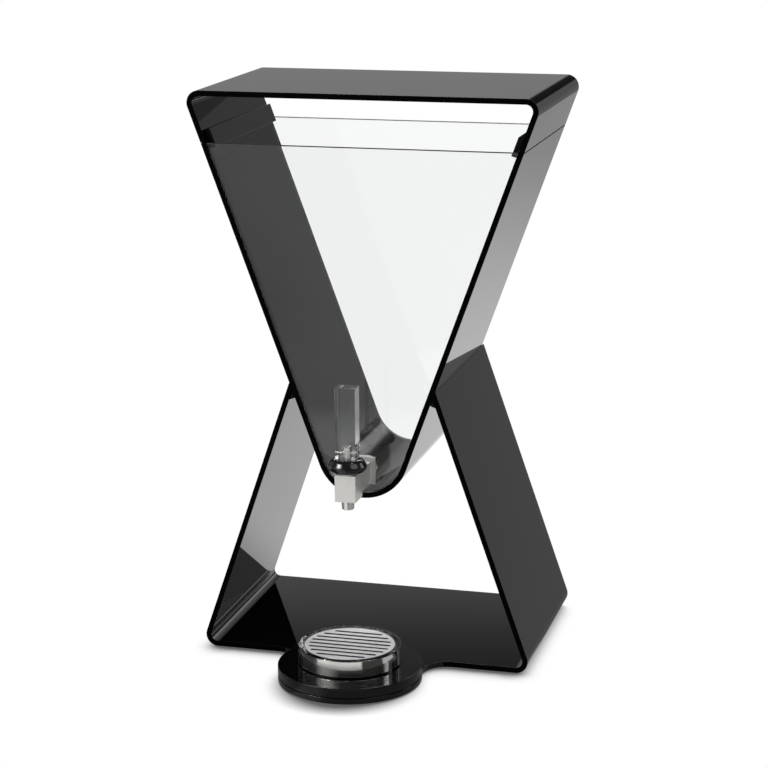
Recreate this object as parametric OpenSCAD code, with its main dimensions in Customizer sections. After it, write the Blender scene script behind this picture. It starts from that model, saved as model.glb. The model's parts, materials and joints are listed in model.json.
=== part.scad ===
// Acrylic drink dispenser: a V-shaped tank with a lift-off lid stands in a bent black frame,
// with a tilt-handle tap over a round drip tray.
// Millimetres, +X to the right, +Y to the back, +Z up, origin on the floor under the middle.

/* [Sheet] */
// Thickness of the black and the clear acrylic sheet
sheet_t = 5.6; // [4:0.1:7]
// Outer radius of the bends in the stand and in the lid
bend_r = 12.5; // [10:0.5:20]
// Room for adhesive round the clear panels
glue_gap = 0.1; // [0.05:0.05:0.3]

/* [Stand] */
// Width of the base where the legs' outer faces would reach its underside
base_w = 352.5; // [330:0.5:380]
// Depth of the base and of its legs
base_d = 216.6; // [180:0.2:260]
// Lean of each leg from upright, in degrees
leg_lean = 19.2; // [17:0.1:22]
// How far the base's front edge stands ahead of the tank
base_lip = 1.1; // [0:0.1:6]
// Radius of the round lobe at the front, and of the plinth on it
lobe_r = 72.5; // [62:0.5:85]
// Radius of the hollow curve between the lobe and the base's front edge
lobe_fillet_r = 25; // [10:1:35]
// Thickness of the plinth under the drip tray
plinth_t = 10.5; // [6:0.5:16]
// Height of the strip under each leg tip, measured along the tank's wall
cradle_h = 7.5; // [5:0.5:12]
// Play between the tank and the cradle that carries it
cradle_gap = 0.1; // [0.05:0.05:0.3]

/* [Feet] */
// Radius of each round pad under the base
foot_r = 7; // [5:0.5:10]
// Thickness of each pad
foot_t = 1.5; // [1:0.5:4]
// Distance from an edge of the base to the middle of a pad
foot_inset = 20; // [12:1:40]

/* [Tank] */
// Depth of the tank and of its lid
tank_d = 209.5; // [180:0.5:212]
// Lean of each tank wall from upright, in degrees
wall_lean = 20.1; // [17:0.1:22]
// Outer radius of the round keel at the bottom of the V
keel_r = 48; // [40:1:60]
// Height of the keel above the underside of the base
keel_h = 172.9; // [150:0.1:200]
// Height of the tank from its keel to its rim
tank_h = 355; // [300:1:400]

/* [Lid] */
// Height of the lid above the tank's rim
lid_h = 52.1; // [35:0.1:80]
// Gap of the seam between the lid and the tank
seam_gap = 0.3; // [0.2:0.1:0.8]
// Thickness of the rails inside the lid
rail_t = 6.2; // [4:0.1:9]
// Length of a rail above the seam, measured along the wall
rail_above = 13.2; // [8:0.1:20]
// Length of a rail below the seam, measured along the wall
rail_below = 6.2; // [4:0.1:12]
// Play between a rail and the tank's wall
rail_play = 1.3; // [0.5:0.1:2]
// Play between a rail's end and a clear panel
rail_end_play = 1.5; // [0.5:0.5:5]

/* [Tap body] */
// Distance from the front panel to the middle of the spout
tap_reach = 53.2; // [46:0.2:60]
// Height of the tap's shank above the keel
tap_rise = 30.3; // [27:0.1:60]
// Width of the tap body
tap_w = 21; // [20:0.5:26]
// Depth of the front column of the tap body
column_d = 25.5; // [22:0.5:32]
// Distance from the middle of the spout to the body's front face
column_front = 10.5; // [10:0.1:13]
// Height of the arm that runs back to the panel
arm_h = 22; // [20:0.5:26]
// How far the front column hangs below the arm
column_drop = 5.2; // [3:0.1:10]
// Radius of the valve chamber
chamber_r = 7.5; // [6.5:0.1:8]
// Depth of the valve chamber from the top of the body
chamber_h = 17.2; // [16:0.1:19]
// Radius of the collar where it stands on the body
collar_foot_r = 10.2; // [9:0.1:10.4]
// Radius of the collar under the bonnet
collar_r = 14.3; // [12:0.1:16]
// Height of the collar
collar_h = 1.9; // [1.5:0.1:4]
// Outer radius of the spout where it meets the body
spout_r = 6.75; // [6:0.05:8]
// Outer radius of the spout at its lip
spout_end_r = 6.1; // [5.5:0.05:7]
// Width of the bevel round the spout's lip
spout_bevel = 0.8; // [0.3:0.1:1]
// Length of the spout below the body
spout_h = 9.5; // [6:0.5:20]
// Radius of the spout's bore and of the outlet above it
outlet_r = 4; // [3:0.1:4.5]
// Wall of the spout's threaded tail inside the body
tail_wall = 1.5; // [1:0.1:1.8]
// Length of the spout's threaded tail
tail_h = 5; // [3:0.5:6]

/* [Tap mounting] */
// Outer radius of the threaded shank
shank_r = 8; // [7:0.1:8.5]
// Radius of the shank's bore
shank_bore_r = 5; // [3.5:0.1:5.5]
// Length of the shank held in the arm
shank_socket = 12; // [8:0.5:16]
// Length of the shank past the nut
shank_spare = 4; // [2:0.5:10]
// Width and height of the square flange
flange_w = 28; // [26:0.5:36]
// Depth of the flange
flange_t = 7; // [5:0.5:10]
// Depth of the straight edge of the flange before its bevel
flange_edge = 1.5; // [1:0.1:3]
// How far the bevel's front end stands round the arm
flange_lip = 0.6; // [0.2:0.1:2]
// Outer radius of the panel washers
washer_r = 12; // [10.5:0.5:13]
// Thickness of each panel washer
washer_t = 1.2; // [0.8:0.1:3]
// Width of the lock nut across its flats
nut_af = 24; // [21:0.5:28]
// Thickness of the lock nut
nut_t = 6; // [4:0.5:10]
// Room between screwed pieces, and between the shank and what it passes through
thread_gap = 0.1; // [0.05:0.05:0.3]

/* [Tap valve] */
// Outer radius of the bonnet
bonnet_r = 19; // [16:0.5:24]
// Height of the bonnet over the collar
bonnet_h = 13.6; // [11.5:0.1:16]
// Radius of the bonnet's rounding, below and above
bonnet_rim_r = 5.5; // [4:0.1:5.7]
// How much slimmer the bonnet is above than below
bonnet_lean = 1.5; // [0:0.1:3]
// Length of the bonnet's plug in the valve chamber
plug_h = 5; // [3:0.5:6]
// Radius of the valve stem
stem_r = 2.5; // [2:0.1:3]
// Running clearance round the stem and round the pin
running_gap = 0.05; // [0.02:0.01:0.1]
// Play between the seat cup and the wall of the chamber
cup_play = 1; // [0.5:0.1:1.5]
// Height of the seat cup
cup_h = 5.4; // [5:0.1:6]
// Length of the stem held in the seat cup
cup_grip = 4; // [3:0.5:4.5]
// Mean radius of the valve spring
coil_r = 4.4; // [4:0.1:4.8]
// Radius of the spring's wire
wire_r = 0.5; // [0.3:0.05:0.6]
// Number of turns of the spring
coil_turns = 3; // [2:1:4]
// Room between the spring and what it presses on
coil_gap = 0.1; // [0.05:0.05:0.3]

/* [Tap handle] */
// Width of the handle
handle_w = 20.5; // [18:0.5:26]
// Depth of the handle
handle_d = 16; // [15:0.5:20]
// Height of the handle
handle_h = 72; // [50:0.5:110]
// Gap between the handle's foot and the bonnet
foot_gap = 0.3; // [0.2:0.1:0.6]
// Height of the pin above the handle's foot
pin_rise = 5.5; // [4:0.1:6.5]
// Radius of the handle's pin
pin_r = 1.2; // [0.8:0.1:1.5]
// How far each end of the pin lies inside the handle's side
pin_inset = 0.8; // [0.2:0.1:2]
// Width of the slot in the handle's foot
slot_w = 8.6; // [7:0.1:11]
// Depth of the slot from front to back
slot_d = 12; // [11.6:0.1:13]
// Height of the slot up to the crown of its arch
slot_h = 13.5; // [12.5:0.5:20]
// Length of the stem above the pin
stem_top = 4.5; // [3:0.1:5]

/* [Drip tray] */
// Outer radius of the tray
tray_r = 51.8; // [46:0.1:60]
// Height of the tray
tray_h = 20.8; // [14:0.1:30]
// Thickness of the tray's wall at its rim
tray_wall = 6; // [4:0.1:8]
// Thickness of the tray's floor
tray_floor = 2; // [1.5:0.5:6]
// Play round the grate
grate_play = 0.4; // [0.3:0.1:1]
// Thickness of the grate's top and of the skirt that it stands on
grate_t = 1.6; // [1:0.1:3]
// How far the grate lies below the tray's rim
grate_sink = 1; // [0.4:0.1:3]
// Number of slots in the grate
grate_slots = 8; // [4:2:8]
// Width of a slot
grate_slot_w = 3.6; // [2:0.1:5]
// Distance from slot to slot
grate_pitch = 9.4; // [7:0.1:10.5]
// Solid margin round the slots
grate_margin = 4.1; // [3:0.1:6]

/* [Hidden] */
$fn = 96;

black = [0.03, 0.03, 0.035];
clear = [0.85, 0.9, 0.92, 0.35];
steel = [0.72, 0.71, 0.69];
soft_black = [0.09, 0.09, 0.09];

// Past a face, so that a cut goes right through it
past = 1;
// Number of flats in a bend
bend_steps = 24;

// Places from front to back
lobe_out = tap_reach - base_lip;
whole_d = base_d + lobe_out + lobe_r;
base_back = whole_d / 2;
base_front = base_back - base_d;
tank_front = base_front + base_lip;
tank_back = tank_front + tank_d;
axis_y = tank_front - tap_reach;

// Heights of the stand, the tank and the lid
base_z = foot_t;
plate_top = base_z + sheet_t;
keel_mid = base_z + keel_h + keel_r;
seam_z = base_z + keel_h + tank_h;
lid_top = seam_z + lid_h;

// Half-width of the tank at height z, measured on a face that lies inset inside the outer one
function wall_x(z, inset = 0) =
    tan(wall_lean) * (z - keel_mid) + (keel_r - inset) / cos(wall_lean);

// Half-width of the stand at height z, measured the same way
function leg_x(z, inset = 0) =
    base_w / 2 - tan(leg_lean) * (z - base_z) - inset / cos(leg_lean);

// Point where a leg's face, lying inset inside its outer one, meets the tank's wall
function tip_z(inset) =
    base_z + (leg_x(base_z, inset) - wall_x(base_z, -cradle_gap)) / (tan(leg_lean) + tan(wall_lean));
function tip(inset) = [leg_x(tip_z(inset), inset), tip_z(inset)];

// Direction at angle a in a front view
function dir(a) = [cos(a), sin(a)];

// Right wall of the tank: up along it, and square to it towards the inside
wall_up = [sin(wall_lean), cos(wall_lean)];
wall_in = [-cos(wall_lean), sin(wall_lean)];

// Middles of the right-hand bends of the stand and of the lid
base_bend = [leg_x(base_z + bend_r, bend_r), base_z + bend_r];
lid_bend = [wall_x(lid_top - bend_r, bend_r), lid_top - bend_r];

// Plan of the hollow curve beside the lobe
fillet_y = base_front - lobe_fillet_r;
fillet_x = sqrt(pow(lobe_r + lobe_fillet_r, 2) - pow(fillet_y - axis_y, 2));

// Heights of the tap
shank_z = base_z + keel_h + tap_rise;
body_top = shank_z + arm_h / 2;
body_bottom = shank_z - arm_h / 2 - column_drop;
seat_z = body_top - chamber_h;
cup_top = seat_z + cup_h;
plug_bottom = body_top - plug_h;
bonnet_bottom = body_top + collar_h;
bonnet_top = bonnet_bottom + bonnet_h;
handle_foot = bonnet_top + foot_gap;
pin_z = handle_foot + pin_rise;

// Places of what is clamped on the shank, from the arm to the end inside the tank
flange_back = tank_front - washer_t;
arm_end = flange_back - flange_t;
panel_back = tank_front + sheet_t;
nut_front = panel_back + washer_t;
shank_end = nut_front + nut_t + shank_spare;
shank_hole_r = shank_r + thread_gap;

// The drip tray, from its seat on the plinth to its rim
tray_z = plate_top + plinth_t;
tray_top = tray_z + tray_h;
grate_top = tray_top - grate_sink;
tray_bed = tray_z + tray_floor;
nest_r = tray_r - tray_wall;
grate_r = nest_r - grate_play;

// Shapes that several pieces share

// Draws a shape and its mirror image
module both_sides() {
    children();
    mirror([1, 0, 0]) children();
}

// Runs a front-view outline back from y0 for a depth of d
module run_back(y0, d) {
    translate([0, y0 + d, 0]) rotate([90, 0, 0]) linear_extrude(d) children();
}

// Cylinder that runs back from y0 for a length of d, at the height of the shank
module along_shank(y0, d, r, sides = $fn) {
    translate([0, y0 + d, shank_z]) rotate([90, 0, 0]) cylinder(h = d, r = r, $fn = sides);
}

// Upright cylinder on the axis of the spout and the stem
module on_axis(z, h, r) {
    translate([0, axis_y, z]) cylinder(h = h, r = r);
}

// Points of an arc of radius r about c, from angle a0 to angle a1
function arc(c, r, a0, a1) = [
    for (i = [0:bend_steps]) c + r * dir(a0 + (a1 - a0) * i / bend_steps)
];

// Points of a list in the opposite order
function backwards(points) = [for (i = [len(points) - 1:-1:0]) points[i]];

// Outline of a bent sheet from its right half, whose points run out along one face and back along the other
module from_half(points) {
    polygon(concat(points, [for (p = backwards(points)) [-p.x, p.y]]));
}

// Stand

// Outline of the base plate, its two bends and the legs, mitred to the tank's walls
module stand_outline() {
    from_half(concat(
        arc(base_bend, bend_r, -90, leg_lean),
        [tip(0), tip(sheet_t)],
        arc(base_bend, bend_r - sheet_t, leg_lean, -90)
    ));
}

// Plan of the lobe, with the hollow curves that lead into the base's front edge
module lobe_plan() {
    difference() {
        union() {
            translate([0, axis_y]) circle(r = lobe_r);
            polygon([
                [-fillet_x, base_front + sheet_t],
                [fillet_x, base_front + sheet_t],
                [fillet_x, fillet_y],
                [0, axis_y],
                [-fillet_x, fillet_y]
            ]);
        }
        both_sides() translate([fillet_x, fillet_y]) circle(r = lobe_fillet_r);
    }
}

module base_frame() {
    color(black) union() {
        run_back(base_front, base_d) stand_outline();
        translate([0, 0, base_z]) linear_extrude(sheet_t) lobe_plan();
    }
}

module tray_plinth() {
    color(black) on_axis(plate_top, plinth_t, lobe_r);
}

// Strip that fills the corner under a leg tip and carries the tank's wall
module cradle_bar() {
    corner = tip(sheet_t);
    low = corner - cradle_h * wall_up;
    run_back(tank_front, tank_d)
        polygon([corner, low, low - cradle_h * tan(leg_lean + wall_lean) * wall_in]);
}

module cradle_bar_left() {
    color(black) mirror([1, 0, 0]) cradle_bar();
}

module cradle_bar_right() {
    color(black) cradle_bar();
}

module foot_pads() {
    color(soft_black) {
        both_sides() for (y = [base_front + foot_inset, base_back - foot_inset])
            translate([base_bend.x - foot_inset, y, 0]) cylinder(h = foot_t, r = foot_r);
        translate([0, axis_y - lobe_r + foot_inset, 0]) cylinder(h = foot_t, r = foot_r);
    }
}

// Tank

// Cuts a front-view outline off level at the seam, and keeps what lies below it
module below_seam() {
    reach = wall_x(seam_z + tank_h);
    difference() {
        children();
        translate([-reach, seam_z]) square([2 * reach, tank_h]);
    }
}

// Right half of a V with a keel of radius r and walls of thickness t: a quarter ring and the wall
// above it, drawn upright and then leaned over, so that the two halves overlap in the keel
module half_v(r, t) {
    translate([0, keel_mid]) rotate(-wall_lean) {
        difference() {
            intersection() {
                circle(r = r);
                translate([0, -r]) square(r);
            }
            circle(r = r - t);
        }
        translate([r - t, 0]) square([t, tank_h]);
    }
}

module tank_wall() {
    color(black) run_back(tank_front, tank_d) below_seam() both_sides() half_v(keel_r, sheet_t);
}

// Outline of a clear panel that fits inside the V: a thick V with no hollow left in its keel,
// and a wedge that fills the space between its walls
module panel_outline() {
    inset = sheet_t + glue_gap;
    r = keel_r - inset;
    below_seam() {
        both_sides() half_v(r, r);
        polygon([
            [0, keel_mid],
            [wall_x(seam_z, inset + r / 2), seam_z],
            [-wall_x(seam_z, inset + r / 2), seam_z]
        ]);
    }
}

module front_panel() {
    color(clear) difference() {
        run_back(tank_front, sheet_t) panel_outline();
        along_shank(tank_front - past, sheet_t + 2 * past, shank_hole_r);
    }
}

module back_panel() {
    color(clear) run_back(tank_back - sheet_t, sheet_t) panel_outline();
}

// Lid

module lid_shell() {
    rim_z = seam_z + seam_gap;
    color(black) run_back(tank_front, tank_d) from_half(concat(
        arc(lid_bend, bend_r, 90, -wall_lean),
        [[wall_x(rim_z), rim_z], [wall_x(rim_z, sheet_t), rim_z]],
        arc(lid_bend, bend_r - sheet_t, -wall_lean, 90)
    ));
}

// Strip glued inside the lid's wall, set back below the seam to clear the tank's wall
module lid_rail() {
    seam = [wall_x(seam_z, sheet_t), seam_z];
    step = seam_gap + rail_play;
    end = sheet_t + rail_end_play;
    run_back(tank_front + end, tank_d - 2 * end) polygon([
        seam - rail_below * wall_up + rail_play * wall_in,
        seam + step * wall_up + rail_play * wall_in,
        seam + step * wall_up,
        seam + rail_above * wall_up,
        seam + rail_above * wall_up + rail_t * wall_in,
        seam - rail_below * wall_up + rail_t * wall_in
    ]);
}

module lid_rail_left() {
    color(black) mirror([1, 0, 0]) lid_rail();
}

module lid_rail_right() {
    color(black) lid_rail();
}

// Tap body and its mounting

module tap_body() {
    arm_bottom = shank_z - arm_h / 2;
    color(steel) difference() {
        union() {
            translate([-tap_w / 2, axis_y - column_front, body_bottom])
                cube([tap_w, column_d, body_top - body_bottom]);
            translate([-tap_w / 2, axis_y, arm_bottom])
                cube([tap_w, arm_end - axis_y, arm_h]);
            translate([0, axis_y, body_top])
                cylinder(h = collar_h, r1 = collar_foot_r, r2 = collar_r);
        }
        on_axis(seat_z, chamber_h + collar_h + past, chamber_r);
        on_axis(body_bottom - past, body_top - body_bottom, outlet_r);
        on_axis(body_bottom - past, tail_h + past, outlet_r + tail_wall + thread_gap);
        along_shank(axis_y, arm_end - axis_y + past, shank_bore_r);
        along_shank(arm_end - shank_socket, shank_socket + past, shank_hole_r);
    }
}

// The spout is turned: a tapered tube with a bevelled lip, and a tail that screws into the body
module tap_spout() {
    lip = body_bottom - spout_h;
    tail_r = outlet_r + tail_wall;
    color(steel) translate([0, axis_y, 0]) rotate_extrude() polygon([
        [outlet_r, lip],
        [spout_end_r - spout_bevel, lip],
        [spout_end_r, lip + spout_bevel],
        [spout_r, body_bottom],
        [tail_r, body_bottom],
        [tail_r, body_bottom + tail_h],
        [outlet_r, body_bottom + tail_h]
    ]);
}

// Side outline of the flange: y runs from its front to its back, and the other way is half its width
module flange_outline(front_half) {
    polygon([
        [arm_end, -front_half],
        [arm_end, front_half],
        [flange_back - flange_edge, flange_w / 2],
        [flange_back, flange_w / 2],
        [flange_back, -flange_w / 2],
        [flange_back - flange_edge, -flange_w / 2]
    ]);
}

module tap_flange() {
    color(steel) difference() {
        translate([0, 0, shank_z]) intersection() {
            translate([0, 0, -flange_w]) linear_extrude(2 * flange_w)
                rotate(90) mirror([0, 1]) flange_outline(tap_w / 2 + flange_lip);
            rotate([90, 0, 90]) translate([0, 0, -flange_w]) linear_extrude(2 * flange_w)
                flange_outline(arm_h / 2 + flange_lip);
        }
        along_shank(arm_end - past, flange_t + 2 * past, shank_hole_r);
    }
}

module tap_shank() {
    color(steel) difference() {
        along_shank(arm_end - shank_socket, shank_end - arm_end + shank_socket, shank_r);
        along_shank(arm_end - shank_socket - past, shank_end - arm_end + shank_socket + 2 * past,
            shank_bore_r);
    }
}

// Flat ring on the shank
module panel_washer(y) {
    difference() {
        along_shank(y, washer_t, washer_r);
        along_shank(y - past, washer_t + 2 * past, shank_hole_r);
    }
}

module outer_washer() {
    color(soft_black) panel_washer(flange_back);
}

module inner_washer() {
    color(soft_black) panel_washer(panel_back);
}

module lock_nut() {
    color(steel) difference() {
        along_shank(nut_front, nut_t, nut_af / 2 / cos(30), 6);
        along_shank(nut_front - past, nut_t + 2 * past, shank_hole_r);
    }
}

// Tap valve

// The bonnet is turned about the stem: a plug in the chamber and a round-edged cap that draws in upwards
module tap_bonnet() {
    hole_r = stem_r + running_gap;
    plug_r = chamber_r - thread_gap;
    low = [bonnet_r - bonnet_rim_r, bonnet_bottom + bonnet_rim_r];
    high = [low.x - bonnet_lean, bonnet_top - bonnet_rim_r];
    side = atan2(bonnet_lean, high.y - low.y);
    color(black) translate([0, axis_y, 0]) rotate_extrude() polygon(concat(
        [[hole_r, plug_bottom], [plug_r, plug_bottom], [plug_r, bonnet_bottom]],
        arc(low, bonnet_rim_r, -90, side),
        arc(high, bonnet_rim_r, side, 90),
        [[hole_r, bonnet_top]]
    ));
}

// Rings of points along the spring's wire, with wire_sides points in a ring
wire_sides = 6;
rings_per_turn = 8;
coil_low = cup_top + coil_gap + wire_r;
coil_rise = (plug_bottom - coil_gap - wire_r - coil_low) / coil_turns;
last_ring = coil_turns * rings_per_turn;

// Angle, middle and climb of the wire at ring i
function coil_angle(i) = 360 * i / rings_per_turn;
function coil_mid(i) = [
    coil_r * cos(coil_angle(i)),
    coil_r * sin(coil_angle(i)),
    coil_low + coil_rise * i / rings_per_turn
];
climb = atan(coil_rise / (2 * PI * coil_r));

// Point j of ring i: outward is away from the axis, and upward is square to the wire
function wire_point(i, j) =
    let(
        a = coil_angle(i),
        b = 360 * j / wire_sides,
        outward = [cos(a), sin(a), 0],
        upward = [sin(climb) * sin(a), -sin(climb) * cos(a), cos(climb)]
    )
    coil_mid(i) + wire_r * (cos(b) * outward + sin(b) * upward);

// Least gap between one turn of the wire and the next
coil_clear = min([
    for (i = [0:last_ring - rings_per_turn])
        norm(coil_mid(i + rings_per_turn) - coil_mid(i)) - 2 * wire_r
]);

module valve_spring() {
    points = [for (i = [0:last_ring], j = [0:wire_sides - 1]) wire_point(i, j)];
    sides = [
        for (i = [0:last_ring - 1], j = [0:wire_sides - 1])
            let(
                k = (j + 1) % wire_sides,
                low = i * wire_sides,
                high = low + wire_sides
            )
            each [[low + j, high + j, high + k], [low + j, high + k, low + k]]
    ];
    first_cap = [for (j = [1:wire_sides - 2]) [0, j, j + 1]];
    end = last_ring * wire_sides;
    last_cap = [for (j = [1:wire_sides - 2]) [end, end + j + 1, end + j]];
    echo(least_gap_between_turns = coil_clear);
    color(steel) translate([0, axis_y, 0])
        polyhedron(points = points, faces = concat(sides, first_cap, last_cap));
}

module valve_stem() {
    foot = cup_top - cup_grip;
    color(steel) difference() {
        on_axis(foot, pin_z + stem_top - foot, stem_r);
        pin_bore(pin_r + running_gap);
    }
}

module seat_cup() {
    color(soft_black) difference() {
        on_axis(seat_z, cup_h, chamber_r - cup_play);
        on_axis(cup_top - cup_grip, cup_grip + past, stem_r);
    }
}

// Cylinder from side to side through the foot of the handle
module pin_bore(r, inset = -past) {
    translate([-handle_w / 2 + inset, axis_y, pin_z])
        rotate([0, 90, 0]) cylinder(h = handle_w - 2 * inset, r = r);
}

module handle_pin() {
    color(steel) pin_bore(pin_r, pin_inset);
}

module tap_handle() {
    arch_r = slot_w / 2;
    color(clear) difference() {
        translate([-handle_w / 2, axis_y - handle_d / 2, handle_foot])
            cube([handle_w, handle_d, handle_h]);
        run_back(axis_y - slot_d / 2, slot_d) {
            translate([-arch_r, handle_foot - past]) square([slot_w, slot_h - arch_r + past]);
            translate([0, handle_foot + slot_h - arch_r]) circle(r = arch_r);
        }
        pin_bore(pin_r + running_gap);
    }
}

// Drip tray

module drip_tray() {
    color(clear) translate([0, axis_y, 0]) rotate_extrude() polygon([
        [0, tray_z],
        [tray_r, tray_z],
        [tray_r, tray_top],
        [nest_r, tray_top],
        [nest_r, tray_bed],
        [0, tray_bed]
    ]);
}

// Plan of a slot with round ends that lies y in front of or behind the middle
module grate_slot(y) {
    end = sqrt(pow(grate_r - grate_margin, 2) - y * y) - grate_slot_w / 2;
    both_sides() translate([end, y]) circle(d = grate_slot_w);
    translate([-end, y - grate_slot_w / 2]) square([2 * end, grate_slot_w]);
}

// The grate is a slotted cap whose skirt stands on the floor of the tray
module drip_grate() {
    first = -(grate_slots - 1) / 2;
    skirt_h = grate_top - grate_t - tray_bed;
    color(steel) difference() {
        on_axis(tray_bed, skirt_h + grate_t, grate_r);
        on_axis(tray_bed - past, skirt_h + past, grate_r - grate_t);
        translate([0, axis_y, grate_top - grate_t - past]) linear_extrude(grate_t + 2 * past)
            for (i = [0:grate_slots - 1]) grate_slot((first + i) * grate_pitch);
    }
}

base_frame();
tray_plinth();
cradle_bar_left();
cradle_bar_right();
foot_pads();
tank_wall();
front_panel();
back_panel();
lid_shell();
lid_rail_left();
lid_rail_right();
tap_body();
tap_spout();
tap_flange();
tap_shank();
outer_washer();
inner_washer();
lock_nut();
tap_bonnet();
valve_spring();
valve_stem();
seat_cup();
handle_pin();
tap_handle();
drip_tray();
drip_grate();
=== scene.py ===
"""Looks of an acrylic drink dispenser: its finishes, its fine shapes and the studio that it stands in."""

import json
import math

import bmesh
import bpy
from bpy.props import FloatProperty, FloatVectorProperty, IntProperty, PointerProperty
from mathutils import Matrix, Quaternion, Vector


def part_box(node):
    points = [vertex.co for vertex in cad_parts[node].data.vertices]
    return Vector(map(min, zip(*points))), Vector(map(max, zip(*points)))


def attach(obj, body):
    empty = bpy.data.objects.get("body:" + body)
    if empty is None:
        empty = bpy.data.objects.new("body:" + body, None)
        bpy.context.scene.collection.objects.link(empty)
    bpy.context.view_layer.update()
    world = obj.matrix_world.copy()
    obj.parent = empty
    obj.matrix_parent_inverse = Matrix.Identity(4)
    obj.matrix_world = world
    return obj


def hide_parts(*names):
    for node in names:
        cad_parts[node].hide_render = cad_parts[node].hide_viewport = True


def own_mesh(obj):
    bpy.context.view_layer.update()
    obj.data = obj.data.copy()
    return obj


bl_info = {
    "name": "Acrylic drink dispenser",
    "version": (1, 0, 0),
    "blender": (4, 5, 0),
    "location": "3D View > Sidebar > Dispenser",
    "description": "Finishes an acrylic drink dispenser and sets it up in a plain studio",
    "category": "Object",
}

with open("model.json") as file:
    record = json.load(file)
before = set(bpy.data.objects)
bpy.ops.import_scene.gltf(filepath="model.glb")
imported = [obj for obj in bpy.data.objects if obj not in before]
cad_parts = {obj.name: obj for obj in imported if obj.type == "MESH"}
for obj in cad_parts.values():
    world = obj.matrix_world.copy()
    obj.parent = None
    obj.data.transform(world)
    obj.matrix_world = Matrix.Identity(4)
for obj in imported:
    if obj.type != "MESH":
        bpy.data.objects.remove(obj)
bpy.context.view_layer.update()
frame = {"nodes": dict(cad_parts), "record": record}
MM = 0.001


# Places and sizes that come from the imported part

def node_middle(name):
    """Middle of a node's box."""
    low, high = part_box(name)
    return (low + high) / 2


def node_radius(name):
    """Radius of a round node, from the width of its box."""
    low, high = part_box(name)
    return (high.x - low.x) / 2


TAP_AXIS = node_middle("valve_stem")
SHANK_AXIS = node_middle("tap_shank")
TRAY_AXIS = node_middle("drip_tray")
GRATE_R = node_radius("drip_grate")
BASE_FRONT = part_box("cradle_bar_left")[0].y
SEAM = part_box("tank_wall")[1].z


# Settings that a user would change

def length(name, description, default, low, high):
    """Setting for a length, given in millimetres."""
    return FloatProperty(
        name=name, description=description, default=default * MM, min=low * MM, max=high * MM, unit="LENGTH")


def colour(name, description, *default):
    """Setting for a colour, given by its red, green and blue."""
    return FloatVectorProperty(
        name=name, description=description, default=default, subtype="COLOR", min=0, max=1)


def brightness(name, description, default, top=3):
    """Setting for a brightness. A brightness of 1 is white."""
    return FloatProperty(name=name, description=description, default=default, min=0, max=top)


def point(name, description, *default):
    """Setting for a point in space, given in metres."""
    return FloatVectorProperty(
        name=name, description=description, default=default, subtype="TRANSLATION", unit="LENGTH")


class SheetSettings(bpy.types.PropertyGroup):
    """Acrylic sheet, black and clear."""

    edge_ease: length("Eased edge", "Width of the eased edges of the sheet", 0.4, 0.05, 1.5)
    # The seam edge also sets the half-width of the band of painted shade along the seams.
    seam_ease: length("Seam edge", "Width of the eased edges along the seams", 0.8, 0.05, 1.5)
    panel_ease: length("Panel edge", "Width of the eased top edges of the clear panels", 0.6, 0.05, 1.5)
    bond_ease: length("Bonded edge", "Width of the other eased edges of the clear panels", 0.1, 0.05, 0.5)
    black: colour("Black", "Colour of the black sheet", 0.0009, 0.0009, 0.001)
    cut_black: colour("Cut edge", "Colour of the black sheet's cut edges", 0.0004, 0.0004, 0.0004)
    clear: colour("Clear", "Tint of the clear sheet", 0.985, 0.992, 0.992)
    clear_shade: colour("Clear shade", "Tint of the shade behind the clear sheet", 0.93, 0.93, 0.93)
    panel_edge: colour("Sawn edge", "Colour of the clear panels' sawn top edges", 0.03, 0.03, 0.03)
    refraction: FloatProperty(
        name="Refraction", description="Refractive index of acrylic", default=1.49, min=1.3, max=1.7)


class TapSettings(bpy.types.PropertyGroup):
    """Tap and grate."""

    steel: colour("Steel", "Colour of the brushed steel", 0.655, 0.645, 0.62)
    grate: colour("Grate", "Colour of the grate's brushed top", 0.84, 0.84, 0.84)
    bonnet: colour("Bonnet", "Colour of the moulded bonnet", 0.003, 0.003, 0.003)
    seal: colour("Seal", "Colour of the seals and of the foot pads", 0.018, 0.018, 0.018)
    casting_ease: length("Casting edge", "Width of the eased edges of the body and the flange", 0.5, 0.1, 1.5)
    handle_ease: length("Handle edge", "Width of the eased edges of the handle", 0.7, 0.1, 2)
    handle_top_ease: length("Handle top", "Width of the eased edges at the top of the handle", 1.5, 0.1, 3)
    stem_ease: length("Stem edge", "Width of the eased edges of the stem and its cup", 0.3, 0.05, 0.5)
    small_ease: length("Small edges", "Width of the eased edges of the washers and the pin", 0.2, 0.05, 0.5)
    thread_pitch: length("Thread pitch", "Distance from turn to turn of the shank's thread", 1.5, 0.8, 3)
    thread_depth: length("Thread depth", "Depth of the shank's thread", 0.75, 0.3, 1.5)
    spout_taper: length("Spout taper", "How much slimmer the spout is at its lip", 0.65, 0, 1.2)
    outlet_r: length("Outlet", "Radius of the spout's bore", 4, 3, 4.5)
    tail_wall: length("Tail wall", "Wall of the spout's tail inside the body", 1.5, 1, 1.8)
    shank_bore_r: length("Shank bore", "Radius of the shank's bore", 5, 3.5, 5.5)
    nut_bore_r: length("Nut bore", "Radius of the lock nut's bore", 8.1, 7, 9)
    bonnet_round: length("Bonnet rounding", "Radius of the bonnet's rounding, below and above", 5.5, 4, 5.7)
    bonnet_lean: length("Bonnet lean", "How much slimmer the bonnet is above than below", 1.5, 0, 3)
    plug_r: length("Plug", "Radius of the bonnet's plug in the valve chamber", 7.4, 6, 8)
    stem_hole_r: length("Stem hole", "Radius of the bonnet's hole for the stem", 2.55, 2, 3.1)
    wire_r: length("Spring wire", "Radius of the valve spring's wire", 0.5, 0.3, 0.6)
    coil_turns: IntProperty(
        name="Spring turns", description="Number of turns of the valve spring", default=3, min=2, max=4)


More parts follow.
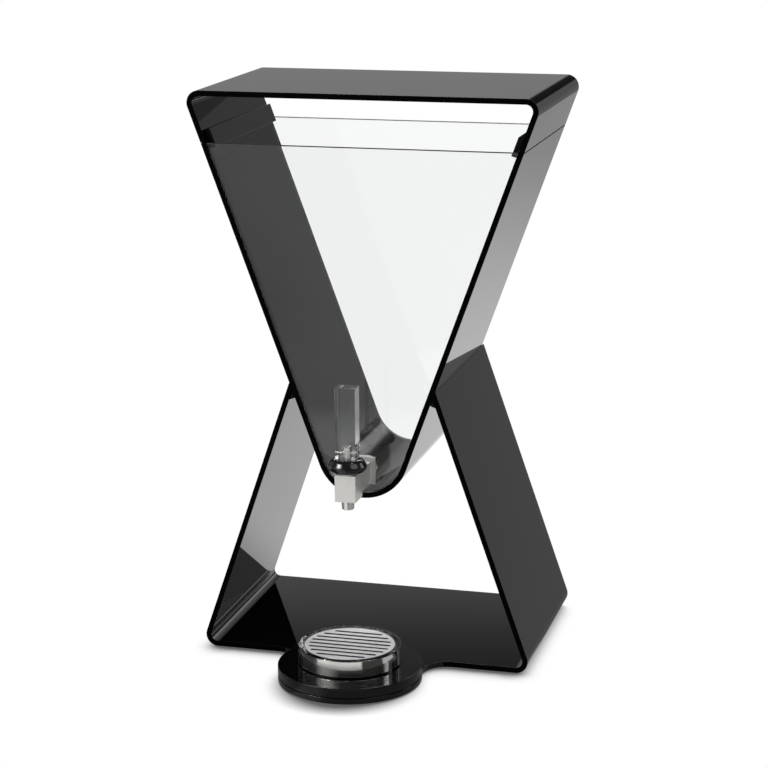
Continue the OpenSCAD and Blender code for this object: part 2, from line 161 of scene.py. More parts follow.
class TraySettings(bpy.types.PropertyGroup):
    """Drip tray, its plinth and its grate."""

    play: length("Play", "Play round the grate", 0.4, 0.3, 1)
    stand_off: length("Stand-off", "Thin air gap between the tray and the plinth", 0.05, 0.01, 0.2)
    rim_ease: length("Rim edge", "Radius of the tray's eased rim", 1.4, 0.1, 2)
    foot_ease: length("Foot edge", "Radius of the eased edge round the foot of the tray", 0.3, 0.1, 2)
    plinth_ease: length("Plinth edge", "Width of the eased edge round the foot of the plinth", 2, 0.1, 3)
    grate_ease: length("Grate edge", "Width of the grate's eased edges", 0.25, 0.05, 0.6)


class StudioSettings(bpy.types.PropertyGroup):
    """Floor, light and camera. Glossy surfaces show a dimmer studio than the camera does."""

    floor_size: FloatProperty(
        name="Floor", description="Width of the floor", default=16.0, min=2, max=40, unit="LENGTH")
    floor: colour("Floor colour", "Colour of the floor as matt surfaces take it", 0.88, 0.88, 0.88)
    floor_white: brightness("Floor white", "Brightness of the floor as the camera shows it", 1.0)
    shadow_reach: length("Shadow", "How far the object's shadow reaches on the floor", 30, 5, 200)
    shadow_depth: brightness("Shadow depth", "Brightness of the floor where the shadow is darkest", 0.12, 1)
    ambient: brightness("Ambient", "Brightness of the surroundings as matt surfaces take it", 0.75)
    horizon: brightness("Horizon", "Brightness of the surroundings near the floor", 0.34)
    flag: brightness("Flag", "Brightness of the dark band over the horizon", 0.10)
    card: brightness("Card", "Brightness of the white card behind on the right", 1.3)
    window: brightness("Window", "Brightness of the gap in the dark band, straight behind", 0.55)
    strip: brightness("Strip", "Brightness of the light strip behind, over the dark band", 5.0, 9)
    front: brightness("Front", "Brightness of the surroundings in front, near the floor", 1.8, 5)
    side: brightness("Side", "Brightness of the surroundings on the right, near the floor", 2.4, 5)
    softbox: brightness("Softbox", "Brightness of the softbox in front on the left", 6.5, 30)
    overhead: brightness("Overhead", "Brightness of the surroundings overhead", 0.15)
    floor_near: brightness("Floor behind", "Brightness of the floor close behind", 0.95)
    floor_middle: brightness("Floor further back", "Brightness of the floor further behind", 0.48)
    floor_far: brightness("Far floor", "Brightness of the floor far behind", 0.24)
    floor_front: brightness("Floor in front", "Brightness of the floor in front", 0.05)
    floor_patch: brightness("Floor patch", "Brightness of the lit patch of floor before the tap", 1.0)
    camera_place: point("Camera", "Place of the camera", 0.6047, -2.1735, 0.8519)
    camera_aim: point("Aim", "Point that the camera looks at", -0.00552, 0.0599, 0.2670)
    camera_roll: FloatProperty(
        name="Roll", description="Turn of the camera about its own line of sight",
        default=math.radians(-0.43), subtype="ANGLE")
    lens: FloatProperty(
        name="Lens", description="Focal length on a 36 mm sensor", default=107.28, min=20, max=300)


class DispenserSettings(bpy.types.PropertyGroup):
    """All the settings of the dispenser."""

    sheet: PointerProperty(type=SheetSettings)
    tap: PointerProperty(type=TapSettings)
    tray: PointerProperty(type=TraySettings)
    studio: PointerProperty(type=StudioSettings)


def settings():
    """The settings of the scene."""
    return bpy.context.scene.dispenser


# Nodes and their maths

class Value:
    """What a node gives out. Expressions of numbers add the Math nodes that work them out."""

    def __init__(self, nodes, socket):
        self.nodes = nodes
        self.socket = socket

    def maths(self, operation, *values):
        """Math node of that operation on the values."""
        return self.nodes.add("ShaderNodeMath", dict(enumerate(values)), operation=operation)["Value"]

    def __add__(self, other):
        return self.maths("ADD", self, other)

    def __radd__(self, other):
        return self.maths("ADD", other, self)

    def __sub__(self, other):
        return self.maths("SUBTRACT", self, other)

    def __rsub__(self, other):
        return self.maths("SUBTRACT", other, self)

    def __mul__(self, other):
        return self.maths("MULTIPLY", self, other)

    def __rmul__(self, other):
        return self.maths("MULTIPLY", other, self)

    def __truediv__(self, other):
        return self.maths("DIVIDE", self, other)

    def __rtruediv__(self, other):
        return self.maths("DIVIDE", other, self)

    def __pow__(self, other):
        return self.maths("POWER", self, other)

    def __rpow__(self, other):
        return self.maths("POWER", other, self)

    def __gt__(self, other):
        return self.maths("GREATER_THAN", self, other)

    def __lt__(self, other):
        return self.maths("LESS_THAN", self, other)

    def __abs__(self):
        return self.maths("ABSOLUTE", self)

    def root(self):
        """Square root of this value."""
        return self.maths("SQRT", self)

    def at_least(self, other):
        """The larger of two values."""
        return self.maths("MAXIMUM", self, other)

    def at_most(self, other):
        """The smaller of two values."""
        return self.maths("MINIMUM", self, other)

    def between(self, first, second):
        """First where this value is 0 and second where it is 1."""
        return first + self * (second - first)

    def eased(self, start, full):
        """From 0 at start to 1 at full in a smooth step. It falls where full is below start."""
        made = self.nodes.add(
            "ShaderNodeMapRange",
            {"Value": self, "From Min": start, "From Max": full, "To Min": 0.0, "To Max": 1.0},
            interpolation_type="SMOOTHSTEP")
        return made["Result"]


class Made:
    """A node that was added: what it gives out, by name or number."""

    def __init__(self, nodes, node):
        self.nodes = nodes
        self.node = node

    def __getitem__(self, name):
        return Value(self.nodes, self.node.outputs[name])


class Nodes:
    """Builds the nodes of a material, of the world or of a geometry group."""

    def __init__(self, tree):
        self.tree = tree
        tree.nodes.clear()

    def add(self, kind, inputs=None, **options):
        """Adds a node: its options are set first, then its inputs, each a plain value or a link."""
        node = self.tree.nodes.new(kind)
        for name, value in options.items():
            setattr(node, name, value)
        for name, value in (inputs or {}).items():
            socket = node.inputs[name]
            if isinstance(value, Value):
                self.tree.links.new(value.socket, socket)
            else:
                socket.default_value = value
        return Made(self, node)

    def parts(self, vector):
        """The X, Y and Z of a vector."""
        made = self.add("ShaderNodeSeparateXYZ", {"Vector": vector})
        return made["X"], made["Y"], made["Z"]

    def place(self):
        """Place on the part at rest."""
        return self.add("ShaderNodeTexCoord")["Object"]

    def facing(self):
        """X, Y and Z of the way that the surface faces."""
        return self.parts(self.add("ShaderNodeTexCoord")["Normal"])

    def noise(self, scale, detail=2.0, stretch=(1, 1, 1), roughness=0.5):
        """Cloudy noise with that many cells to the metre, drawn out along the axes by stretch."""
        squeezed = [1 / s for s in stretch]
        vector = self.add("ShaderNodeMapping", {"Vector": self.place(), "Scale": squeezed})["Vector"]
        inputs = {"Vector": vector, "Scale": scale, "Detail": detail, "Roughness": roughness}
        return self.add("ShaderNodeTexNoise", inputs)["Fac"]

    def mottled(self, factor, tint, dark, light):
        """Colour between a dark and a light shade of a tint. The Mix node's colours go by their numbers."""
        shades = {0: factor, 6: shade(tint, dark), 7: shade(tint, light)}
        return self.add("ShaderNodeMix", shades, data_type="RGBA")[2]

    def bump(self, height, depth):
        """Normal of a surface whose height varies by up to depth."""
        return self.add("ShaderNodeBump", {"Height": height, "Distance": depth, "Strength": 1.0})["Normal"]

    def principled(self, **inputs):
        """Principled shader, with its inputs' names written with underscores."""
        named = {name.replace("_", " "): value for name, value in inputs.items()}
        return self.add("ShaderNodeBsdfPrincipled", named)["BSDF"]

    def glow(self, level):
        """Shader that shines with that level of light."""
        return self.add("ShaderNodeEmission", {"Color": level})["Emission"]

    def mixed(self, factor, first, second):
        """Mix of two shaders."""
        return self.add("ShaderNodeMixShader", {0: factor, 1: first, 2: second})["Shader"]

    def surface(self, shader):
        """Ends a material in that shader."""
        self.add("ShaderNodeOutputMaterial", {"Surface": shader})


def shade(tint, factor=1.0):
    """A tint made lighter or darker, with full alpha."""
    return (*(min(1.0, part * factor) for part in tint), 1.0)


def shader_of(owner):
    """Empty shader of a material or of the world."""
    owner.use_nodes = True
    return Nodes(owner.node_tree)


# Finishes

WAVE_DEPTH = 0.02 * MM      # waviness of cast sheet
BRUSH_DEPTH = 0.012 * MM    # lines of brushed steel
FINE_DEPTH = 0.004 * MM     # rings of turned steel and grain of moulded plastic
RUBBER_DEPTH = 0.03 * MM    # grain of rubber
EDGE_PLAY = 3 * MM          # how far before the base's front edge its cut begins
SKIRT_PLAY = 0.3 * MM       # how far inside the grate's radius its skirt begins
HAZE_ROUGHNESS = 0.02       # what haze adds at most to the roughness of polished black acrylic
RIM_ROUGHNESS = 0.03        # what turning adds at most to that of the disc
CLEAR_ROUGHNESS = 0.006     # roughness of clear acrylic where its haze is thickest
PLASTIC_REFRACTION = 1.52   # refractive index of moulded plastic


def polished_black(shader, finest=0.015, turned=0.0, **inputs):
    """Polished black acrylic with a faint haze. Turning adds to its finest roughness."""
    sheet = settings().sheet
    haze = shader.noise(55.0, detail=5.0)
    return shader.principled(
        Base_Color=shader.mottled(haze, sheet.black, 0.8, 1.3),
        Roughness=finest + haze * HAZE_ROUGHNESS + turned,
        IOR=sheet.refraction,
        **inputs)


def sawn_black(shader, stretch, gloss):
    """Satin black acrylic, sawn along the axes with the larger stretch."""
    saw = shader.noise(1500.0, stretch=stretch)
    return shader.principled(
        Base_Color=shader.mottled(saw, settings().sheet.cut_black, 0.6, 1.6),
        Roughness=saw.between(0.42, 0.62),
        IOR=settings().sheet.refraction,
        Specular_IOR_Level=gloss)


def waviness(shader):
    """Normal of a sheet that is faintly wavy."""
    return shader.bump(shader.noise(7.0, detail=1.0), WAVE_DEPTH)


def brushing(shader, stretch):
    """Fine lines along the axis with the largest stretch."""
    return shader.noise(2600.0, detail=3.0, stretch=stretch, roughness=0.65)


def turning(shader):
    """Fine rings round an upright axis."""
    return shader.noise(3500.0, stretch=(30, 30, 1))


def black_sheet(shader):
    """Polished black sheet with near-black sawn front and back edges, and painted shade in a band along the
    seams.
    """
    facing = abs(shader.facing()[1])
    _x, y, z = shader.parts(shader.place())
    front_or_back = facing.eased(0.25, 0.5) * (y > BASE_FRONT - EDGE_PLAY)
    # Painted shade: a band along the seam between tank and lid takes the near-black sawn finish, as the shade
    # in the seam's groove.
    painted_seam_shade = abs(z - SEAM) < settings().sheet.seam_ease
    polished = polished_black(shader, Normal=waviness(shader))
    cut = sawn_black(shader, (8, 1, 8), gloss=0.02)
    shader.surface(shader.mixed((front_or_back + painted_seam_shade) > 0.5, polished, cut))


def black_strip(shader):
    """Black strip cut from the sheet: polished on its sides and sawn on its ends and narrow faces."""
    across = abs(shader.facing()[0])
    cut = sawn_black(shader, (1, 8, 1), gloss=0.1)
    shader.surface(shader.mixed(across.eased(0.7, 0.8), cut, polished_black(shader)))


def black_disc(shader):
    """Polished black disc, turned on its rim."""
    turned = shader.noise(700.0, stretch=(40, 40, 1)) * RIM_ROUGHNESS
    shader.surface(polished_black(shader, finest=0.05, turned=turned, Normal=waviness(shader)))


def clear_acrylic(shader):
    """Clear polished acrylic with a faint haze, which lets light through to what lies in its shade."""
    sheet = settings().sheet
    haze = shader.noise(60.0, detail=4.0)
    solid = shader.principled(
        Base_Color=shader.mottled(haze, sheet.clear, 0.995, 1.0),
        Roughness=haze * CLEAR_ROUGHNESS,
        IOR=sheet.refraction,
        Transmission_Weight=1.0)
    passing = shader.add("ShaderNodeBsdfTransparent", {"Color": shade(sheet.clear_shade)})["BSDF"]
    return shader.mixed(shader.add("ShaderNodeLightPath")["Is Shadow Ray"], solid, passing)


def clear_sheet(shader):
    """Clear acrylic all over."""
    shader.surface(clear_acrylic(shader))


def bonded_panel(shader):
    """Clear panel with a sawn top edge. Its sides are cemented to the black sheet, so they show black."""
    sheet = settings().sheet
    grain = shader.noise(800.0)
    roughness = grain.between(0.5, 0.7)
    cement = shader.principled(
        Base_Color=shader.mottled(grain, sheet.cut_black, 0.7, 1.5),
        Roughness=roughness,
        Specular_IOR_Level=0.0)
    sawn = shader.principled(
        Base_Color=shader.mottled(grain, sheet.panel_edge, 0.8, 1.2), Roughness=roughness)
    _x, facing, up = shader.facing()
    side = abs(facing).eased(0.3, 0.2) * up.eased(0.6, 0.5)
    clear = shader.mixed(up.eased(0.15, 0.35), clear_acrylic(shader), sawn)
    shader.surface(shader.mixed(side, clear, cement))


def grate_steel(shader):
    """Steel brushed from side to side on top and bright on the skirt, with painted shade on the slot walls.
    """
    tap = settings().tap
    lines = brushing(shader, (24, 1, 1))
    face = shader.principled(
        Base_Color=shader.mottled(lines, tap.grate, 0.9, 1.1),
        Metallic=0.65,
        Roughness=lines.between(0.42, 0.56),
        Normal=shader.bump(lines, BRUSH_DEPTH))
    rings = turning(shader)
    skirt = shader.principled(
        Base_Color=shader.mottled(rings, tap.steel, 1.0, 1.2),
        Metallic=1.0,
        Roughness=rings.between(0.05, 0.1))
    # Painted shade: the slot walls take a near-black copy of the steel, as the shade inside the slots.
    painted_slot_shade = shader.principled(
        Base_Color=shader.mottled(lines, tap.steel, 0.03, 0.08),
        Roughness=lines.between(0.5, 0.7),
        Specular_IOR_Level=0.2)
    x, y, _z = shader.parts(shader.place())
    y = y - TRAY_AXIS.y
    outside = (x * x + y * y).root() > GRATE_R - SKIRT_PLAY
    up = abs(shader.facing()[2])
    shader.surface(shader.mixed(up.eased(0.5, 0.9), shader.mixed(outside, painted_slot_shade, skirt), face))


def steel_along_z(shader):
    """Steel brushed up and down."""
    steel = settings().tap.steel
    lines = brushing(shader, (1, 1, 18))
    blotch = shader.noise(120.0, detail=3.0)
    shader.surface(shader.principled(
        Base_Color=shader.mottled(lines, steel, 0.86, 1.1),
        Metallic=0.8,
        Roughness=lines.between(0.2, 0.36) + blotch * 0.06,
        Normal=shader.bump(lines, BRUSH_DEPTH)))


def turned_steel(shader):
    """Bright turned steel."""
    rings = turning(shader)
    shader.surface(shader.principled(
        Base_Color=shader.mottled(rings, settings().tap.steel, 0.95, 1.15),
        Metallic=0.85,
        Roughness=rings.between(0.24, 0.34),
        Normal=shader.bump(rings, FINE_DEPTH)))


def moulded_black(shader):
    """Glossy black moulded plastic."""
    grain = shader.noise(1400.0, detail=3.0)
    smear = shader.noise(150.0, detail=3.0)
    shader.surface(shader.principled(
        Base_Color=shader.mottled(smear, settings().tap.bonnet, 0.7, 1.5),
        Roughness=smear.between(0.12, 0.16) + grain * 0.02,
        IOR=PLASTIC_REFRACTION,
        Normal=shader.bump(grain, FINE_DEPTH)))


def seal_rubber(shader):
    """Matt black rubber."""
    grain = shader.noise(2200.0, detail=4.0)
    shader.surface(shader.principled(
        Base_Color=shader.mottled(grain, settings().tap.seal, 0.6, 1.6),
        Roughness=grain.between(0.6, 0.85),
        Normal=shader.bump(grain, RUBBER_DEPTH)))


FINISHES = {build.__name__: build for build in (
    black_sheet, black_strip, black_disc, clear_sheet, bonded_panel,
    grate_steel, steel_along_z, turned_steel, moulded_black, seal_rubber)}


def dress(piece, finish):
    """Gives a piece that finish in its one material slot. Each finish is built once."""
    made = bpy.data.materials.get(finish)
    if made is None:
        made = bpy.data.materials.new(finish)
        FINISHES[finish](shader_of(made))
    if piece.material_slots:
        piece.material_slots[0].material = made
    else:
        piece.data.materials.append(made)


# Shapes

SHARP_ANGLE = math.radians(32)    # edges that are sharper than this are eased, and shaded as edges
FLAT_ANGLE = math.radians(0.2)    # faces that meet at less than this are joined into one
LEVEL_PLAY = 0.05 * MM            # how far an edge can lie from a height and still be level with it
TINY = 0.001 * MM                 # points that are closer than this are one point
FLAT_WEIGHT = 100                 # how firmly large faces keep their flat shading
EASE_STEPS = 3
ROUND_STEPS = 6
ARC_STEPS = 16
MOST_ROUNDED = 0.45               # share of an outline's stretch that one rounding can take up


def new_group(name):
    """New node group that takes a mesh and gives one back: its nodes and the mesh that goes in."""
    group = bpy.data.node_groups.new(name, "GeometryNodeTree")
    for way in ("INPUT", "OUTPUT"):
        group.interface.new_socket("Geometry", in_out=way, socket_type="NodeSocketGeometry")
    nodes = Nodes(group)
    return nodes, nodes.add("NodeGroupInput")["Geometry"]


def shading_group():
    """Node group that shades a mesh smooth, with its edges sharp where faces meet at an angle."""
    name = "smooth_faces_sharp_edges"
    if name in bpy.data.node_groups:
        return bpy.data.node_groups[name]
    nodes, mesh = new_group(name)
    shallow = nodes.add("GeometryNodeInputMeshEdgeAngle")["Unsigned Angle"] < SHARP_ANGLE
    faces = nodes.add("GeometryNodeSetShadeSmooth", {"Geometry": mesh})["Geometry"]
    edges = nodes.add(
        "GeometryNodeSetShadeSmooth", {"Geometry": faces, "Shade Smooth": shallow}, domain="EDGE")["Geometry"]
    nodes.add("NodeGroupOutput", {"Geometry": edges})
    return nodes.tree


def weight_group(height, share):
    """Node group that marks the sharp edges at a height to be eased in full, and the others by a share."""
    nodes, mesh = new_group(f"ease_at_{height / MM:.1f}_{share:.2f}")
    sharp = nodes.add("GeometryNodeInputMeshEdgeAngle")["Unsigned Angle"] > SHARP_ANGLE
    ends = nodes.add("GeometryNodeInputMeshEdgeVertices")
    first, second = (
        abs(nodes.parts(ends[end])[2] - height) < LEVEL_PLAY for end in ("Position 1", "Position 2"))
    weight = sharp * (first * second).between(share, 1.0)
    marked = nodes.add(
        "GeometryNodeStoreNamedAttribute",
        {"Geometry": mesh, "Name": "bevel_weight_edge", "Value": weight},
        data_type="FLOAT", domain="EDGE")["Geometry"]
    nodes.add("NodeGroupOutput", {"Geometry": marked})
    return nodes.tree


def smooth_shading(piece):
    """Shades a piece smooth over its curves and flat over its flats."""
    nodes = piece.modifiers.new("shading", "NODES")
    nodes.node_group = shading_group()
    weights = piece.modifiers.new("flat_faces", "WEIGHTED_NORMAL")
    weights.keep_sharp = True
    weights.weight = FLAT_WEIGHT


def ease_edges(piece, width, height=None, full=None):
    """Eases a piece's sharp edges by a width, and the level ones at a height by their own full width."""
    weld = piece.modifiers.new("weld", "WELD")
    weld.merge_threshold = TINY
    flats = piece.modifiers.new("flats", "DECIMATE")
    flats.decimate_type = "DISSOLVE"
    flats.angle_limit = FLAT_ANGLE
    if full:
        weights = piece.modifiers.new("weights", "NODES")
        weights.node_group = weight_group(height, width / full)
    bevel = piece.modifiers.new("ease", "BEVEL")
    bevel.limit_method = "WEIGHT" if full else "ANGLE"
    bevel.angle_limit = SHARP_ANGLE
    bevel.width = full or width
    bevel.segments = EASE_STEPS
    smooth_shading(piece)


def finish_node(name, finish, ease, height=None, full=None):
    """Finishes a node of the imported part: its material and its eased edges."""
    piece = frame["nodes"][name]
    dress(piece, finish)
    ease_edges(piece, ease, height, full)


def new_piece(name, points, faces, node, finish):
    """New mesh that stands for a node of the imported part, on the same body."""
    mesh = bpy.data.meshes.new(name)
    mesh.from_pydata([tuple(p) for p in points], [], faces)
    shape = bmesh.new()
    shape.from_mesh(mesh)
    bmesh.ops.remove_doubles(shape, verts=shape.verts, dist=TINY)
    bmesh.ops.recalc_face_normals(shape, faces=shape.faces)
    shape.to_mesh(mesh)
    shape.free()
    piece = bpy.data.objects.new(name, mesh)
    bpy.context.scene.collection.objects.link(piece)
    dress(piece, finish)
    smooth_shading(piece)
    record = frame["record"]
    body = next(b for b, members in record["behaviour"]["bodies"].items() if node in members)
    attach(piece, body)
    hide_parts(node)
    return piece


def skinned(name, rings, node, finish, loop=True, closed=True):
    """Piece with a skin over rings of points. A loop goes on from the last ring to the first, and any other
    piece has caps. Rings that aren't closed begin and end on an axis."""
    count = len(rings)
    sides = len(rings[0])
    faces = []
    for i in range(count if loop else count - 1):
        m = (i + 1) % count
        for j in range(sides if closed else sides - 1):
            k = (j + 1) % sides
            faces.append((i * sides + j, i * sides + k, m * sides + k, m * sides + j))
    if not loop:
        faces += [tuple(range(sides)), tuple(range((count - 1) * sides, count * sides))]
    return new_piece(name, [p for ring in rings for p in ring], faces, node, finish)


def turns(count):
    """Angles of a full turn in equal steps."""
    return [2 * math.pi * i / count for i in range(count)]


def upright(axis, radius, angle, height):
    """Point at a distance from an upright axis."""
    return Vector((axis.x + radius * math.cos(angle), axis.y + radius * math.sin(angle), height))


def on_shank(radius, angle, y):
    """Point at a distance from the shank's axis."""
    return Vector((SHANK_AXIS.x + radius * math.cos(angle), y, SHANK_AXIS.z + radius * math.sin(angle)))


def arc(middle, radius, start, end):
    """Points of an outline along an arc."""
    angles = (start + (end - start) * i / ARC_STEPS for i in range(ARC_STEPS + 1))
    return [middle + radius * Vector((math.cos(a), math.sin(a))) for a in angles]


def rounded(corners):
    """Outline through corners, each with its distance from the axis, its height and its rounding."""
    outline = []
    for i, (*corner, rounding) in enumerate(corners):
        here = Vector(corner)
        if not rounding:
            outline.append(here)
            continue
        before = Vector(corners[i - 1][:2]) - here
        after = Vector(corners[(i + 1) % len(corners)][:2]) - here
        most = MOST_ROUNDED * min(before.length, after.length)
        reach = min(rounding / math.tan(before.angle(after) / 2), most)
        start = here + reach * before.normalized()
        end = here + reach * after.normalized()
        for step in range(ROUND_STEPS + 1):
            t = step / ROUND_STEPS
            outline.append((1 - t) ** 2 * start + 2 * t * (1 - t) * here + t ** 2 * end)
    return outline


def lathe(name, outline, axis, node, finish, segments=144):
    """Piece turned about an upright axis, from an outline of distances from it and heights."""
    rings = [[upright(axis, p.x, a, p.y) for p in outline] for a in turns(segments)]
    return skinned(name, rings, node, finish, closed=outline[0].x > TINY)


def swept(name, path, radius, node, finish, sides=12):
    """Round wire along a path of points."""
    rings = []
    for i, here in enumerate(path):
        along = (path[min(i + 1, len(path) - 1)] - path[max(i - 1, 0)]).normalized()
        across = along.cross(Vector((0, 0, 1))).normalized()
        over = along.cross(across)
        rings.append([here + radius * (math.cos(a) * across + math.sin(a) * over) for a in turns(sides)])
    return skinned(name, rings, node, finish, loop=False)


# The studio as glossy surfaces show it. A soft edge is a name, where the light starts and where it is full.
# In the surroundings, x, y and z are those of a direction. On the floor, x and y are metres from the middle,
# reach is metres from the tray's axis, turn is radians to the right of straight ahead, and slant is x less a
# share of y. A shade multiplies the level of light by its first factor before its edges and by its second
# one past them.

HORIZON_SHADES = (
    (1.0, 0.65, ("x", -0.2, 0.3)),
    (1.0, 0.1, ("x", 0.34, 0.42), ("z", 0.0, 0.05)),
    (1.0, 0.08, ("x", -0.17, -0.08), ("z", 0.13, 0.18), ("z", 0.31, 0.26)),
)
# Cards round the object, each over those before it, by the settings that hold their brightness
CARDS = (
    ("flag", ("z", 0.315, 0.365)),
    ("card", ("x", 0.16, 0.24), ("x", 0.5, 0.42), ("y", 0.4, 0.5), ("z", 0.13, 0.17), ("z", 0.46, 0.42)),
    ("window", ("x", -0.09, -0.05), ("x", 0.14, 0.1), ("y", 0.45, 0.6), ("z", 0.39, 0.42), ("z", 0.48, 0.47)),
    ("strip", ("x", -0.65, -0.55), ("x", 0.5, 0.4), ("y", 0.45, 0.6), ("z", 0.475, 0.5), ("z", 0.66, 0.6)),
    ("front", ("x", -0.1, -0.7), ("y", -0.2, -0.6), ("z", 0.42, 0.36)),
    ("side", ("x", 0.3, 0.38), ("y", 0.2, 0.4), ("y", 0.87, 0.82), ("z", 0.48, 0.42)),
    ("softbox", ("x", -0.95, -0.8), ("x", -0.3, -0.5), ("y", -0.15, -0.3),
     ("z", 0.5, 0.56), ("z", 0.72, 0.64)),
    ("overhead", ("z", 0.7, 0.92)),
)
# The floor behind the object: where it dims, where it ends, and where it takes over from the floor in front
FURTHER_BACK = [("y", 0.7, 2.4)]
LIT_BEHIND = [("y", 6.0, 3.0), ("slant", 0.15, 0.1)]
SLANT = 0.107
BACK = [("y", -0.02, 0.3)]
RIGHT = [("x", 0.16, 0.19)]
# The floor in front: lit ahead of the tray and beside it, and dimmer close round it
AHEAD = [("turn", -0.99, -0.89), ("turn", 0.72, 0.66)]
AHEAD_SHADES = (
    (0.22, 0.82, ("reach", 0.114, 0.138)),
    (1.0, 0.45, ("reach", 0.85, 1.0)),
    (1.3, 1.0, ("turn", -0.7, -0.3)),
    (1.0, 0.0, ("turn", -0.1, 0.1), ("reach", 0.2, 0.25)),
)
ASIDE = [("turn", 1.48, 1.54), ("turn", 2.8, 2.7), ("reach", 0.24, 0.2)]
ASIDE_LEVEL = 0.5
CLOSE = [("turn", -0.8, -0.6), ("turn", -0.05, -0.35)]
CLOSE_LEVELS = (0.14, 0.44)
PAST_CLOSE = [("reach", 0.108, 0.116)]

# The object's shadow, from how open the floor is in a tilted direction
SHADOW_TILT = (0.5, 0.6, 0.65)     # outwards, to the back and up
SHADOW_SIDES = (-0.08, 0.08)       # where the tilt turns from the left to the right
SHADOW_SAMPLES = 24
SHADOW_START = 0.93                # openness below which the shadow begins
SHADOW_POWER = 2.5                 # how fast it darkens

# Soft lamps: the name, the place, the width, the height and the power of each
LAMPS = (
    ("overhead_box", (0.1, 0.5, 2.2), 1.2, 0.5, 20.0),
    ("left_box", (-1.6, -1.5, 1.6), 0.8, 0.8, 10.0),
    ("right_box", (1.7, -0.9, 1.7), 1.6, 1.6, 5.0),
)
LAMP_AIM = Vector((0, 0, 0.25))
LAMP_SPREAD = math.radians(110)
SENSOR_WIDTH = 36    # millimetres
CLIP_END = 100       # metres


def past(places, edges):
    """1 past all of the soft edges, and 0 before any of them."""
    level, *others = [places[name].eased(start, full) for name, start, full in edges]
    for other in others:
        level = level * other
    return level


def shaded(level, places, shades):
    """A level of light under shades."""
    for before, after, *edges in shades:
        level = level * past(places, edges).between(before, after)
    return level


def mirrored(path):
    """1 where a light path has met a glossy surface, and 0 elsewhere."""
    return path["Glossy Depth"] > 0.5


# Operators, one for each piece or group of like pieces

